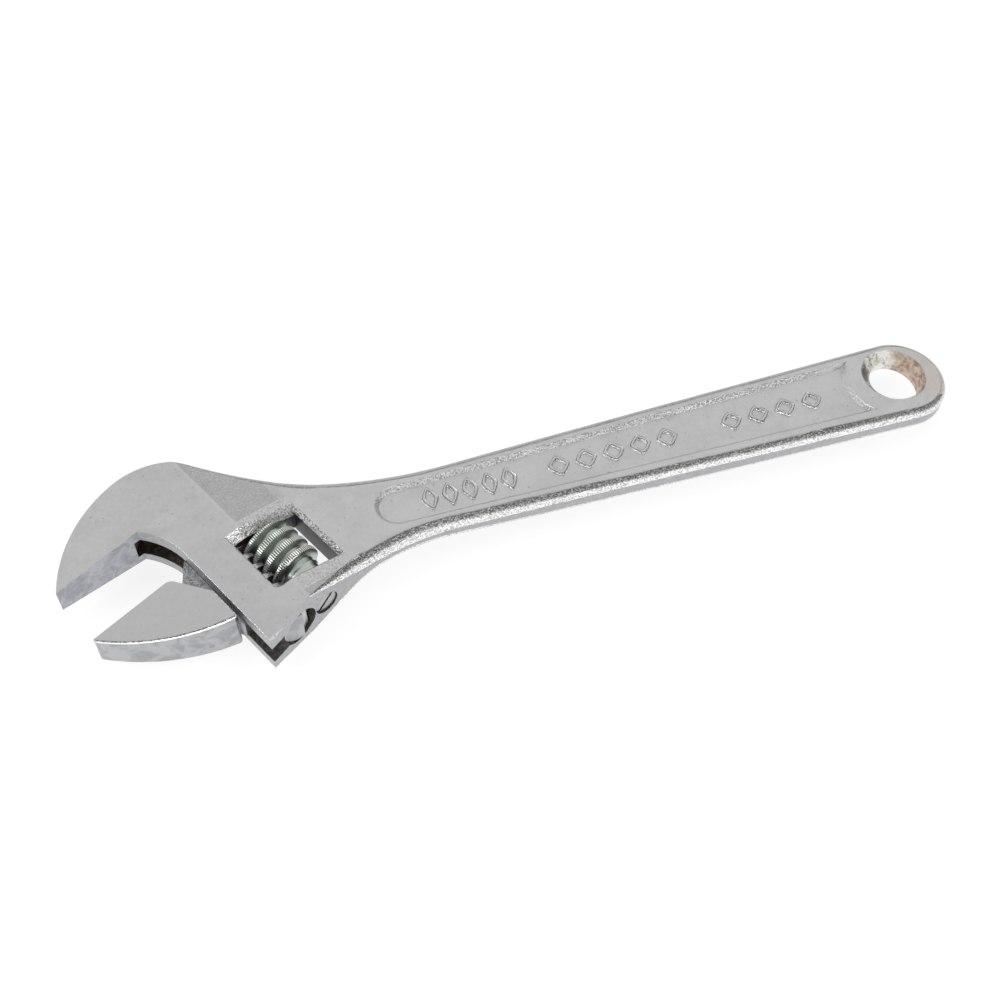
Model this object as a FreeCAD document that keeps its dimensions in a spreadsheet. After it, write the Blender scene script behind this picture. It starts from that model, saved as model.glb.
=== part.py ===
import FreeCAD, Part
import math
import os
import Sketcher

# Adjustable wrench, nominal 200 mm (8 in), built as it comes apart on a bench: the forged body,
# the sliding jaw with its rack, the knurled worm, the pin screw and the small spring.
#
# Frame: origin at the centre of the hang hole, on the mid-plane.  +X runs from the head along the
# handle to the hang hole, +Z is the thickness.  The sketches are drawn about the countersink's
# line, hole_shift short of the hole, and every piece is placed by that much at the end.  The head
# is worked out in a second frame, turned about that line by head_angle: u lies along the jaw faces
# (jaw tips at the most negative u) and v along the jaw's slide (fixed jaw at the higher v).

doc = FreeCAD.newDocument("adjustable_wrench")
sheet = doc.addObject("Spreadsheet::Sheet", "sheet")

DIMENSIONS = {
    # handle
    "handle_thickness": 6.4,
    "end_radius": 11.0,
    "end_centre_x": 1.2,
    "end_centre_y": -0.4,
    "near_taper": 1.7,
    "far_taper": 1.33,
    "near_neck_radius": 52.0,
    "far_neck_radius": 108.0,
    "edge_radius": 2.05,
    "neck_edge_radius": 2.6,
    "ridge_edge_radius": 0.3,
    "edge_swell_start": 80.0,
    # hang hole
    "hole_radius": 6.15,
    "hole_shift": 0.8,
    "countersink_shift": 0.6,
    "countersink_radius": 7.6,
    "countersink_depth": 2.4,
    "countersink_run": 2.6,
    # recessed panel on each face of the handle
    "panel_depth": 1.1,
    "panel_draft": 42.0,
    "panel_left": 121.0,
    "panel_left_half": 4.95,
    "panel_right_half": 7.6,
    "panel_end_radius": 11.5,
    # head
    "head_angle": 25.0,
    "ridge_line": 138.7,
    "ridge_height": 6.72,
    "ground_slope": 5.62,
    "neck_foot": 123.0,
    "neck_foot_run": 5.0,
    "crown_radius": 17.0,
    "crown_line": 150.5,
    "crown_height": 77.2,
    "crown_turn": 30.0,
    "fixed_face": 81.0,
    "fixed_tip": 174.4,
    "throat_corner": 154.4,
    "throat_radius": 18.0,
    "channel_edge": 150.6,
    "end_corner": 42.4,
    "pin_face": 44.4,
    "pin_face_turn": 2.2,
    "pin_corner": 139.8,
    # worm window
    "window_left": 142.3,
    "window_right": 127.1,
    "window_low_left": 50.7,
    "window_low_right": 49.6,
    "window_high_left": 65.4,
    "window_high_right": 64.4,
    "window_bevel": 1.9,
    "window_side_bevel": 1.1,
    "window_low_bevel": 0.4,
    "window_near_corner": 1.2,
    # channel of the sliding jaw
    "channel_offset": 0.4,
    "slot_width": 5.2,
    "slot_left": 155.8,
    "slot_top_left": 81.9,
    "slot_top": 84.9,
    "slot_top_turn": 152.2,
    "bore_line": 142.4,
    "bore_radius": 4.35,
    "bore_top": 86.5,
    # sliding jaw
    "jaw_face": 67.35,
    "jaw_tip": 174.9,
    "jaw_shoulder": 156.55,
    "jaw_shoulder_round": 2.0,
    "jaw_edge": 151.45,
    "jaw_edge_top": 58.7,
    "jaw_heel": 51.2,
    "jaw_tip_width": 0.7,
    "jaw_back_radius": 44.0,
    "jaw_heel_round": 0.8,
    "jaw_edge_round": 0.55,
    "jaw_top_root": 5.465,
    "jaw_under_root": 5.55,
    "jaw_under_slope": 0.042,
    "web_width": 4.8,
    "web_low": 50.6,
    "web_left_low": 151.0,
    "web_left": 156.0,
    "web_left_foot": 62.0,
    "web_left_high": 155.2,
    "web_turn": 65.6,
    "web_top_left": 151.0,
    "web_high": 70.7,
    "rail_radius": 4.1,
    "rail_low": 43.9,
    "rail_high": 71.0,
    "rack_flat": 139.6,
    "rack_root": 141.6,
    "rack_first": 44.35,
    "rack_gap_root": 1.85,
    "rack_gap_tip": 2.35,
    "rack_count": 9.0,
    "lead_angle": 5.4,
    # worm, pin and spring
    "worm_line": 135.0,
    "worm_radius": 6.3,
    "worm_low": 51.0,
    "worm_high": 64.3,
    "worm_lead": 3.2,
    "worm_root_radius": 4.4,
    "thread_gap_crest": 1.8,
    "thread_gap_root": 1.2,
    "thread_start": 66.75,
    "thread_length": 17.6,
    "worm_shoulder": 54.3,
    "worm_hub_radius": 4.3,
    "worm_hub_top": 52.2,
    "worm_bore_radius": 2.1,
    "spring_pocket_radius": 3.15,
    "spring_pocket_depth": 3.0,
    "pin_radius": 2.0,
    "pin_high": 72.0,
    "pin_head_radius": 2.65,
    "pin_head_low": 45.0,
    "pin_head_height": 1.4,
    "pin_clearance": 0.05,
    "pin_head_clearance": 0.2,
    "driver_slot_width": 0.8,
    "driver_slot_depth": 0.9,
    "driver_slot_turn": 45.0,
    "spring_mean_radius": 2.65,
    "spring_wire_radius": 0.22,
    "spring_pitch": 0.8,
    "spring_height": 2.3,
}

for row, (alias, size) in enumerate(DIMENSIONS.items(), start=1):
    sheet.set(f"A{row}", alias)
    sheet.set(f"B{row}", str(size))
    sheet.setAlias(f"B{row}", alias)
doc.recompute()


def size(alias):
    """The value of one cell of the sheet."""
    return float(sheet.get(alias))


HEAD_ANGLE = math.radians(size("head_angle"))
HEAD_TURN = FreeCAD.Rotation(FreeCAD.Vector(0, 0, 1), size("head_angle"))


def head(u, v):
    """A point of the head frame as x, y of the wrench's frame."""
    point = HEAD_TURN.multVec(FreeCAD.Vector(u, v, 0))
    return point.x, point.y


# ---------------------------------------------------------------- helpers


def vector(x, y):
    return FreeCAD.Vector(x, y, 0)


def new_body(name):
    body = doc.addObject("PartDesign::Body", name)
    body.Label = name
    return body


def origin_plane(body, role):
    return next(item for item in body.Origin.OriginFeatures if item.Role == role)


def new_sketch(body, name, role="XY_Plane", placement=None):
    """A sketch on one of the body's origin planes, moved by placement within that plane's frame."""
    sketch = body.newObject("Sketcher::SketchObject", name)
    sketch.AttachmentSupport = [(origin_plane(body, role), "")]
    sketch.MapMode = "FlatFace"
    if placement is not None:
        sketch.AttachmentOffset = placement
    return sketch


def in_head_plane(height=0.0, tilt=0.0, v=0.0):
    """Offset that gives an XY sketch the axes u and v, at a height, tilted about u at a given v."""
    lean = FreeCAD.Rotation(FreeCAD.Vector(1, 0, 0), tilt)
    base = FreeCAD.Vector(*head(0, v), height)
    return FreeCAD.Placement(base, HEAD_TURN.multiply(lean))


def across_slide(v):
    """Offset that gives an XZ sketch the axes u and z, in the plane at v, facing down the slide."""
    turn = FreeCAD.Rotation(FreeCAD.Vector(0, 1, 0), size("head_angle"))
    return FreeCAD.Placement(turn.multVec(FreeCAD.Vector(0, 0, -v)), turn)


def bind(sketch, index, expression):
    sketch.setExpression(f"Constraints[{index}]", expression)


def pin_point(sketch, edge, end, expressions):
    """Hold one end of an edge at a place worked out from the sheet."""
    for kind, expression in zip(("DistanceX", "DistanceY"), expressions):
        where = sketch.evalExpression(expression)
        where = float(getattr(where, "Value", where))
        index = sketch.addConstraint(Sketcher.Constraint(kind, -1, 1, edge, end, where))
        bind(sketch, index, expression)


def add_polygon(sketch, corners):
    """A closed polygon whose corners are pairs of expressions of the sheet's cells."""
    points = []
    for pair in corners:
        values = [sketch.evalExpression(text) for text in pair]
        values = [float(getattr(item, "Value", item)) for item in values]
        points.append(FreeCAD.Vector(values[0], values[1], 0))
    first = sketch.GeometryCount
    count = len(points)
    for number, start in enumerate(points):
        sketch.addGeometry(Part.LineSegment(start, points[(number + 1) % count]), False)
    for number in range(count):
        after = first + (number + 1) % count
        sketch.addConstraint(Sketcher.Constraint("Coincident", first + number, 2, after, 1))
    for number, pair in enumerate(corners):
        pin_point(sketch, first + number, 1, pair)
    return first


def add_circle(sketch, centre, radius):
    """A circle whose centre and radius are expressions of the sheet's cells."""
    values = [sketch.evalExpression(text) for text in (*centre, radius)]
    values = [float(getattr(item, "Value", item)) for item in values]
    circle = Part.Circle(FreeCAD.Vector(values[0], values[1], 0), FreeCAD.Vector(0, 0, 1), values[2])
    edge = sketch.addGeometry(circle, False)
    index = sketch.addConstraint(Sketcher.Constraint("Radius", edge, values[2]))
    bind(sketch, index, radius)
    if abs(values[0]) < 1e-9 and abs(values[1]) < 1e-9:
        sketch.addConstraint(Sketcher.Constraint("Coincident", edge, 3, -1, 1))
    else:
        pin_point(sketch, edge, 3, centre)
    return edge


def pad(body, name, sketch, length, midplane=False, reverse=False):
    feature = body.newObject("PartDesign::Pad", name)
    feature.Profile = sketch
    feature.setExpression("Length", length)
    feature.SideType = "Symmetric" if midplane else "One side"
    feature.Reversed = reverse
    return feature


def cut_through(body, name, sketch):
    """A pocket through everything, both ways from its sketch."""
    feature = body.newObject("PartDesign::Pocket", name)
    feature.Profile = sketch
    feature.Type = "ThroughAll"
    feature.SideType = "Symmetric"
    return feature


def carve(body, name, sketch, depth, midplane=False, draft=None):
    """A pocket of a stated depth, into the body or half each way from its sketch."""
    feature = body.newObject("PartDesign::Pocket", name)
    feature.Profile = sketch
    feature.setExpression("Length", depth)
    feature.SideType = "Symmetric" if midplane else "One side"
    if draft is not None:
        feature.setExpression("TaperAngle", draft)
    return feature


def mirror_below(body, name, features):
    """The same features again on the underside."""
    feature = body.newObject("PartDesign::Mirrored", name)
    feature.Originals = features
    feature.MirrorPlane = (origin_plane(body, "XY_Plane"), [""])
    body.Tip = feature
    return feature


def on_axis(line):
    """Offset that gives an XY sketch the axes r and v about the line u = -line of the channel."""
    base = vector(*head(-line, 0))
    base.z = -size("channel_offset")
    return FreeCAD.Placement(base, HEAD_TURN)


def revolve(body, name, sketch):
    """A full turn of a sketch about its own v axis."""
    feature = body.newObject("PartDesign::Revolution", name)
    feature.Profile = sketch
    feature.ReferenceAxis = (sketch, ["V_Axis"])
    feature.Angle = 360
    return feature


def helix(body, kind, name, sketch, pitch, height):
    """A coil of a sketch about its own v axis, towards the open end of the wrench."""
    feature = body.newObject(f"PartDesign::{kind}", name)
    feature.Profile = sketch
    feature.ReferenceAxis = (sketch, ["V_Axis"])
    feature.Mode = "pitch-height-angle"
    feature.setExpression("Pitch", pitch)
    feature.setExpression("Height", height)
    feature.Reversed = True
    return feature


def edge_ends(edge):
    return [edge.valueAt(edge.FirstParameter), edge.valueAt(edge.LastParameter)]


def edges_where(shape, test):
    """Names of the edges for which test(middle, ends), in the head frame, holds."""
    to_head = HEAD_TURN.inverted()
    names = []
    for index, edge in enumerate(shape.Edges, start=1):
        middle = edge.valueAt((edge.FirstParameter + edge.LastParameter) / 2)
        ends = [to_head.multVec(end) for end in edge_ends(edge)]
        if test(to_head.multVec(middle), ends):
            names.append(f"Edge{index}")
    return names


def upright_edge(shape, u, v):
    """The window's corner edge that stands at u, v."""

    def test(middle, ends):
        return all(abs(end.x - u) < 1e-4 and abs(end.y - v) < 1e-4 for end in ends)

    return edges_where(shape, test)


def rim_edges(shape, start, end):
    """The window's rim on both faces along its wall from one u, v corner to another."""
    start = vector(-size(f"window_{start[0]}"), size(f"window_{start[1]}"))
    end = vector(-size(f"window_{end[0]}"), size(f"window_{end[1]}"))
    along = end.sub(start).normalize()
    length = end.sub(start).Length

    def test(middle, ends):
        flat = vector(middle.x, middle.y).sub(start)
        on_wall = abs(flat.cross(along).z) < 1e-4 and -0.01 < flat.dot(along) < length + 0.01
        return on_wall and min(abs(end.z) for end in ends) > 2 and ends[0].z * ends[1].z > 0

    return edges_where(shape, test)


def dress(body, kind, name, base, edges, radius):
    """A fillet or chamfer on named edges of a feature."""
    feature = body.newObject(f"PartDesign::{kind}", name)
    feature.Base = (base, edges)
    feature.setExpression("Radius" if kind == "Fillet" else "Size", radius)
    doc.recompute()
    return feature


# ---------------------------------------------------------------- forging: outline and thickness


def direction(degrees):
    return vector(math.cos(math.radians(degrees)), math.sin(math.radians(degrees)))


def arc_from_tangent(start, tangent, end):
    """The arc that leaves start along tangent and reaches end."""
    chord = end.sub(start)
    normal = FreeCAD.Vector(0, 0, 1).cross(tangent)
    radius = chord.Length ** 2 / (2 * chord.dot(normal))
    centre = start.add(normal.multiply(radius))
    to_middle = start.add(end).multiply(0.5).sub(centre)
    to_middle.Length = abs(radius)
    return Part.Arc(start, centre.add(to_middle), end)


def rounded_corner(before, corner, after, radius):
    """The arc of a stated radius that rounds the corner of two lines, and its two end points."""
    back = before.sub(corner).normalize()
    ahead = after.sub(corner).normalize()
    half_turn = (math.pi - back.getAngle(ahead)) / 2
    reach = radius * math.tan(half_turn)
    start = corner.add(FreeCAD.Vector(back).multiply(reach))
    end = corner.add(FreeCAD.Vector(ahead).multiply(reach))
    return arc_from_tangent(start, FreeCAD.Vector(back).multiply(-1), end), start, end


def meet(point, along, normal, distance):
    """Where the line through point, along a direction, meets the line normal . p = distance."""
    step = (distance - normal.dot(point)) / normal.dot(along)
    return point.add(FreeCAD.Vector(along).multiply(step))


def forging_outline():
    """The plan outline of the forging, from the head's end corner round the handle and back."""
    end_centre = vector(size("end_centre_x"), size("end_centre_y"))
    end_radius = size("end_radius")
    near_normal = direction(270 - size("near_taper"))
    far_normal = direction(90 + size("far_taper"))
    near_reach = near_normal.dot(end_centre) + end_radius
    far_reach = far_normal.dot(end_centre) + end_radius

    end_corner = vector(*head(-size("channel_edge"), size("end_corner")))
    pin_corner = vector(*head(-size("pin_corner"), size("pin_face")))
    pin_along = direction(size("head_angle") + size("pin_face_turn"))
    near_corner = meet(pin_corner, pin_along, near_normal, near_reach)
    near_tangent = end_centre.add(FreeCAD.Vector(near_normal).multiply(end_radius))
    near_arc, near_left, near_right = rounded_corner(
        pin_corner, near_corner, near_tangent, size("near_neck_radius")
    )
    swell = vector(-size("edge_swell_start"), 0)
    near_swell = meet(swell, vector(0, 1), near_normal, near_reach)
    far_swell = meet(swell, vector(0, 1), far_normal, far_reach)

    # One hollow arc joins the crown of the head to the handle's far side.
    crown_radius = size("crown_radius")
    crown_centre = vector(*head(-size("crown_line"), size("crown_height")))
    neck_radius = size("far_neck_radius")
    above_side = far_reach + neck_radius - far_normal.dot(crown_centre)
    beside = math.sqrt((crown_radius + neck_radius) ** 2 - above_side**2)
    side_along = direction(size("far_taper"))
    neck_centre = crown_centre.add(FreeCAD.Vector(far_normal).multiply(above_side))
    neck_centre = neck_centre.add(side_along.multiply(beside))
    far_left = neck_centre.sub(FreeCAD.Vector(far_normal).multiply(neck_radius))
    to_neck = neck_centre.sub(crown_centre).normalize()
    crown_start = crown_centre.add(to_neck.multiply(crown_radius))
    crown_end = crown_centre.add(direction(90 + size("crown_turn")).multiply(crown_radius))
    crown_top = crown_centre.add(direction(90).multiply(crown_radius))
    far_arc = arc_from_tangent(far_left, direction(180 + size("far_taper")), crown_start)
    tip = vector(*head(-size("fixed_tip"), size("fixed_face")))
    back_tangent = direction(180 + size("crown_turn"))

    throat = vector(*head(-size("throat_corner"), size("fixed_face")))
    throat_radius = size("throat_radius")
    throat_side = size("throat_corner") - size("channel_edge")
    throat_rise = math.sqrt(throat_radius**2 - (throat_radius - throat_side) ** 2)
    throat_foot = vector(*head(-size("channel_edge"), size("fixed_face") - throat_rise))
    down_slide = direction(size("head_angle") - 90)
    throat_arc = arc_from_tangent(throat_foot, FreeCAD.Vector(down_slide).multiply(-1), throat)

    far_tangent = end_centre.add(FreeCAD.Vector(far_normal).multiply(end_radius))
    end_middle = end_centre.add(vector(end_radius, 0))
    return [
        Part.LineSegment(end_corner, pin_corner),
        Part.LineSegment(pin_corner, near_left),
        near_arc,
        Part.LineSegment(near_right, near_swell),
        Part.LineSegment(near_swell, near_tangent),
        Part.Arc(near_tangent, end_middle, far_tangent),
        Part.LineSegment(far_tangent, far_swell),
        Part.LineSegment(far_swell, far_left),
        far_arc,
        Part.Arc(crown_start, crown_top, crown_end),
        arc_from_tangent(crown_end, back_tangent, tip),
        Part.LineSegment(tip, throat),
        throat_arc,
        Part.LineSegment(throat_foot, end_corner),
    ]


def add_thickness_profile(sketch):
    """The space above the head, neck and handle, seen along the slide: everything to cut away."""
    high = 9.0
    left = -190.0
    right = 30.0
    ridge = vector(-size("ridge_line"), size("ridge_height"))
    slope = math.tan(math.radians(size("ground_slope")))
    left_low = vector(left, ridge.y + slope * (left - ridge.x))
    foot = vector(-size("neck_foot"), size("handle_thickness") / 2)
    right_low = vector(right, foot.y)
    foot_run = size("neck_foot_run")
    before = foot.add(ridge.sub(foot).normalize().multiply(foot_run))
    after = foot.add(vector(foot_run, 0))
    corners = [vector(right, high), vector(left, high), left_low, ridge, before]
    for side in (1, -1):

        def place(point):
            return vector(point.x, side * point.y)

        for start, end in zip(corners, corners[1:]):
            sketch.addGeometry(Part.LineSegment(place(start), place(end)), False)
        tangent = place(foot).sub(place(before)).normalize()
        sketch.addGeometry(arc_from_tangent(place(before), tangent, place(after)), False)
        sketch.addGeometry(Part.LineSegment(place(after), place(right_low)), False)
        sketch.addGeometry(Part.LineSegment(place(right_low), place(corners[0])), False)


def forged_radius(point):
    """The radius of the forging's rounded edge: nothing at the ridge, widest on the neck."""
    along = -(HEAD_TURN.inverted().multVec(point)).x
    neck_start = size("neck_foot")
    if along > neck_start:
        share = min(1.0, (size("ridge_line") - along) / (size("ridge_line") - neck_start))
        share = max(0.0, share)
        return size("ridge_edge_radius") * (1 - share) + size("neck_edge_radius") * share
    swell = (-point.x - size("edge_swell_start")) / (neck_start - size("edge_swell_start"))
    swell = min(1.0, max(0.0, swell))
    return size("edge_radius") * (1 - swell) + size("neck_edge_radius") * swell


def forged_edges(shape, side):
    """Edges of the neck's and handle's outline on one side (1 top, -1 underside), in order.

    Each is (edge number, radius, radius).  The radii follow the direction of the first edge, which
    is the direction that the rounding runs in.
    """
    waiting = {}
    for index, edge in enumerate(shape.Edges, start=1):
        ends = edge_ends(edge)
        middle = edge.valueAt((edge.FirstParameter + edge.LastParameter) / 2)
        along = -(HEAD_TURN.inverted().multVec(middle)).x
        walls = [face for face in shape.ancestorsOfType(edge, Part.Face) if is_wall(face)]
        on_side = min(end.z * side for end in ends) > 1
        if on_side and along < size("ridge_line") - 0.1 and len(walls) == 1:
            waiting[index] = ends
    here = min((end for ends in waiting.values() for end in ends), key=lambda point: point.y)
    chain = []
    while waiting:
        index = next(key for key, ends in waiting.items() if min(distances(here, ends)) < 1e-4)
        ends = waiting.pop(index)
        if distances(here, ends)[0] > distances(here, ends)[1]:
            ends.reverse()
        chain.append((index, forged_radius(ends[0]), forged_radius(ends[1])))
        here = ends[1]
    first_end = edge_ends(shape.Edges[chain[0][0] - 1])[0]
    if abs(forged_radius(first_end) - chain[0][1]) > 1e-9:
        chain = [(index, last, first) for index, first, last in chain]
    return chain


def distances(point, ends):
    return [point.sub(end).Length for end in ends]


def is_wall(face):
    """Whether a face stands upright, as the sides of the outline do."""
    u_low, u_high, v_low, v_high = face.ParameterRange
    normal = face.normalAt((u_low + u_high) / 2, (v_low + v_high) / 2)
    return abs(normal.z) < 0.01


def panel_outline():
    """The panel's outline: round towards the head, hollow around the hang hole."""
    left = -size("panel_left")
    left_half = size("panel_left_half")
    right_half = size("panel_right_half")
    end_radius = size("panel_end_radius")
    right = -math.sqrt(end_radius**2 - right_half**2)
    near_left = vector(left, -left_half)
    near_right = vector(right, -right_half)
    far_right = vector(right, right_half)
    far_left = vector(left, left_half)
    return [
        Part.LineSegment(near_left, near_right),
        Part.Arc(near_right, vector(-end_radius, 0), far_right),
        Part.LineSegment(far_right, far_left),
        Part.Arc(far_left, vector(left - left_half, 0), near_left),
    ]


# ---------------------------------------------------------------- wrench_body

blank = new_body("forging_blank")
outline_sketch = new_sketch(blank, "forging_outline")
for curve in forging_outline():
    outline_sketch.addGeometry(curve, False)
pad(blank, "forging_pad", outline_sketch, "2 * sheet.ridge_height + 2", midplane=True)
thickness_sketch = new_sketch(blank, "thickness_profile", "XZ_Plane", across_slide(0))
add_thickness_profile(thickness_sketch)
cut_through(blank, "thickness_cut", thickness_sketch)
doc.recompute()

rounded = doc.addObject("Part::Fillet", "forging_rounded")
rounded.Base = blank
rounded.Edges = forged_edges(blank.Shape, 1) + forged_edges(blank.Shape, -1)
doc.recompute()

body = new_body("wrench_body")
body.BaseFeature = rounded
doc.recompute()


# The worm window, its corners and the softer rim on its far side and towards the handle.
window_sketch = new_sketch(body, "window", placement=in_head_plane())
add_polygon(window_sketch, [
    ("-sheet.window_left", "sheet.window_low_left"),
    ("-sheet.window_right", "sheet.window_low_right"),
    ("-sheet.window_right", "sheet.window_high_right"),
    ("-sheet.window_left", "sheet.window_high_left"),
])
feature = cut_through(body, "window_cut", window_sketch)
doc.recompute()
corner = upright_edge(feature.Shape, -size("window_left"), size("window_low_left"))
feature = dress(body, "Fillet", "window_near_corner", feature, corner, "sheet.window_near_corner")
rim = rim_edges(feature.Shape, ("left", "high_left"), ("right", "high_right"))
feature = dress(body, "Chamfer", "window_bevel", feature, rim, "sheet.window_bevel")
rim = rim_edges(feature.Shape, ("right", "low_right"), ("right", "high_right"))
feature = dress(body, "Chamfer", "window_side_bevel", feature, rim, "sheet.window_side_bevel")
rim = rim_edges(feature.Shape, ("left", "low_left"), ("right", "low_right"))
feature = dress(body, "Chamfer", "window_low_bevel", feature, rim, "sheet.window_low_bevel")


# The recessed panel on each face.
panel_sketch = new_sketch(body, "panel")
panel_sketch.setExpression("AttachmentOffset.Base.z", "sheet.handle_thickness / 2")
for curve in panel_outline():
    panel_sketch.addGeometry(curve, False)
panel = carve(body, "panel_pocket", panel_sketch, "sheet.panel_depth", draft="-sheet.panel_draft")
doc.recompute()
feature = mirror_below(body, "panel_below", [panel])
doc.recompute()

# The hang hole, and the forged countersinks, which it was punched a little off the centre of.
hole_sketch = new_sketch(body, "hang_hole")
add_circle(hole_sketch, ("sheet.hole_shift", "0"), "sheet.hole_radius")
cut_through(body, "hang_hole_cut", hole_sketch)
sink_sketch = new_sketch(body, "countersink")
sink_sketch.setExpression("AttachmentOffset.Base.z", "sheet.handle_thickness / 2")
add_circle(sink_sketch, ("0", "sheet.countersink_shift"), "sheet.countersink_radius")
sink_draft = "-atan(sheet.countersink_run / sheet.countersink_depth)"
sink_depth = "sheet.countersink_depth"
sink = carve(body, "countersink_cut", sink_sketch, sink_depth, draft=sink_draft)
doc.recompute()
mirror_below(body, "countersink_below", [sink])
doc.recompute()

# The slot and the bore that the sliding jaw's web and rail run in.
slot_sketch = new_sketch(body, "slot", placement=in_head_plane(-size("channel_offset")))
add_polygon(slot_sketch, [
    ("-sheet.slot_left", "sheet.end_corner - 3"),
    ("-sheet.bore_line", "sheet.end_corner - 3"),
    ("-sheet.bore_line", "sheet.slot_top"),
    ("-sheet.slot_top_turn", "sheet.slot_top"),
    ("-sheet.slot_left", "sheet.slot_top_left"),
])
carve(body, "slot_cut", slot_sketch, "sheet.slot_width", midplane=True)
start = across_slide(size("end_corner") - 3)
bore_sketch = new_sketch(body, "rail_bore", "XZ_Plane", start)
add_circle(bore_sketch, ("-sheet.bore_line", "-sheet.channel_offset"), "sheet.bore_radius")
carve(body, "rail_bore_cut", bore_sketch, "sheet.bore_top - sheet.end_corner + 3")

# The pin's hole, blind beyond the window, with a wider seat for its head.
pin_sketch = new_sketch(body, "pin_hole", "XZ_Plane", start)
pin_axis = ("-sheet.worm_line", "-sheet.channel_offset")
add_circle(pin_sketch, pin_axis, "sheet.pin_radius + sheet.pin_clearance")
carve(body, "pin_hole_cut", pin_sketch, "sheet.pin_high + 1 - sheet.end_corner + 3")
seat_sketch = new_sketch(body, "pin_seat", "XZ_Plane", start)
add_circle(seat_sketch, pin_axis, "sheet.pin_head_radius + sheet.pin_head_clearance")
seat_depth = "sheet.pin_head_low + sheet.pin_head_height - sheet.end_corner + 3"
carve(body, "pin_seat_cut", seat_sketch, seat_depth)
doc.recompute()


# ---------------------------------------------------------------- sliding_jaw


def jaw_outline():
    """The sliding jaw's outline in the head frame, from the tip along the face and back."""
    face = size("jaw_face")
    tip = vector(-size("jaw_tip"), face)
    tip_foot = vector(-size("jaw_tip"), face - size("jaw_tip_width"))
    corner = vector(-size("jaw_shoulder"), face)
    edge_top = vector(-size("jaw_edge"), size("jaw_edge_top"))
    heel = vector(-size("jaw_edge"), size("jaw_heel"))
    shoulder, face_end, slant_start = rounded_corner(
        tip, corner, edge_top, size("jaw_shoulder_round")
    )
    radius = size("jaw_back_radius")
    chord = tip_foot.sub(heel)
    outward = FreeCAD.Vector(0, 0, 1).cross(chord).normalize()
    sagitta = radius - math.sqrt(radius**2 - (chord.Length / 2) ** 2)
    middle = heel.add(tip_foot).multiply(0.5).add(outward.multiply(sagitta))
    return [
        Part.LineSegment(tip, face_end),
        shoulder,
        Part.LineSegment(slant_start, edge_top),
        Part.LineSegment(edge_top, heel),
        Part.Arc(heel, middle, tip_foot),
        Part.LineSegment(tip_foot, tip),
    ]


def outer_edges(shape):
    """The edges of both faces along the jaw's back, heel and side."""

    def test(middle, ends):
        on_face = min(abs(end.z) for end in ends) > 1 and ends[0].z * ends[1].z > 0
        return on_face and middle.y < size("jaw_edge_top")

    return edges_where(shape, test)


jaw = new_body("sliding_jaw")
jaw_sketch = new_sketch(jaw, "jaw_outline", placement=in_head_plane())
for curve in jaw_outline():
    jaw_sketch.addGeometry(curve, False)
pad(jaw, "jaw_plate", jaw_sketch, "2 * sheet.ridge_height + 2", midplane=True)
jaw_thickness = new_sketch(jaw, "jaw_thickness", "XZ_Plane", across_slide(0))
beyond = "(sheet.jaw_tip + 5 - sheet.jaw_edge)"
slope = "tan(sheet.ground_slope * 1 deg)"
add_polygon(jaw_thickness, [
    ("-sheet.jaw_tip - 5", f"sheet.jaw_top_root - {beyond} * {slope}"),
    ("-sheet.jaw_edge + 2", f"sheet.jaw_top_root + 2 * {slope}"),
    ("-sheet.jaw_edge + 2", "sheet.ridge_height + 3"),
    ("-sheet.jaw_tip - 5", "sheet.ridge_height + 3"),
])
add_polygon(jaw_thickness, [
    ("-sheet.jaw_tip - 5", f"-sheet.jaw_under_root + {beyond} * sheet.jaw_under_slope"),
    ("-sheet.jaw_tip - 5", "-sheet.ridge_height - 3"),
    ("-sheet.jaw_edge + 2", "-sheet.ridge_height - 3"),
    ("-sheet.jaw_edge + 2", "-sheet.jaw_under_root - 2 * sheet.jaw_under_slope"),
])
feature = cut_through(jaw, "jaw_thickness_cut", jaw_thickness)
doc.recompute()


heel = upright_edge(feature.Shape, -size("jaw_edge"), size("jaw_heel"))
feature = dress(jaw, "Fillet", "jaw_heel_round", feature, heel, "sheet.jaw_heel_round")
feature = dress(
    jaw, "Fillet", "jaw_edge_round", feature, outer_edges(feature.Shape), "sheet.jaw_edge_round"
)

# The web, the rail with its flat, and the rack that the worm drives.
web_sketch = new_sketch(jaw, "web", placement=in_head_plane(-size("channel_offset")))
add_polygon(web_sketch, [
    ("-sheet.bore_line", "sheet.web_low"),
    ("-sheet.web_left_low", "sheet.web_low"),
    ("-sheet.web_left", "sheet.web_left_foot"),
    ("-sheet.web_left_high", "sheet.web_turn"),
    ("-sheet.web_top_left", "sheet.web_high"),
    ("-sheet.bore_line", "sheet.web_high"),
])
pad(jaw, "web_pad", web_sketch, "sheet.web_width", midplane=True)
rail_sketch = new_sketch(jaw, "rail", "XZ_Plane", across_slide(size("rail_low")))
add_circle(rail_sketch, ("-sheet.bore_line", "-sheet.channel_offset"), "sheet.rail_radius")
pad(jaw, "rail_pad", rail_sketch, "sheet.rail_high - sheet.rail_low", reverse=True)
flat_sketch = new_sketch(jaw, "rail_flat", placement=in_head_plane(-size("channel_offset")))
add_polygon(flat_sketch, [
    ("-sheet.rack_flat", "sheet.rail_low - 1"),
    ("-sheet.rack_flat + 4", "sheet.rail_low - 1"),
    ("-sheet.rack_flat + 4", "sheet.rail_high + 1"),
    ("-sheet.rack_flat", "sheet.rail_high + 1"),
])
cut_through(jaw, "rail_flat_cut", flat_sketch)
rack_plane = in_head_plane(-size("channel_offset"), -size("lead_angle"), size("rack_first"))
rack_sketch = new_sketch(jaw, "rack_gap", placement=rack_plane)
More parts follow.
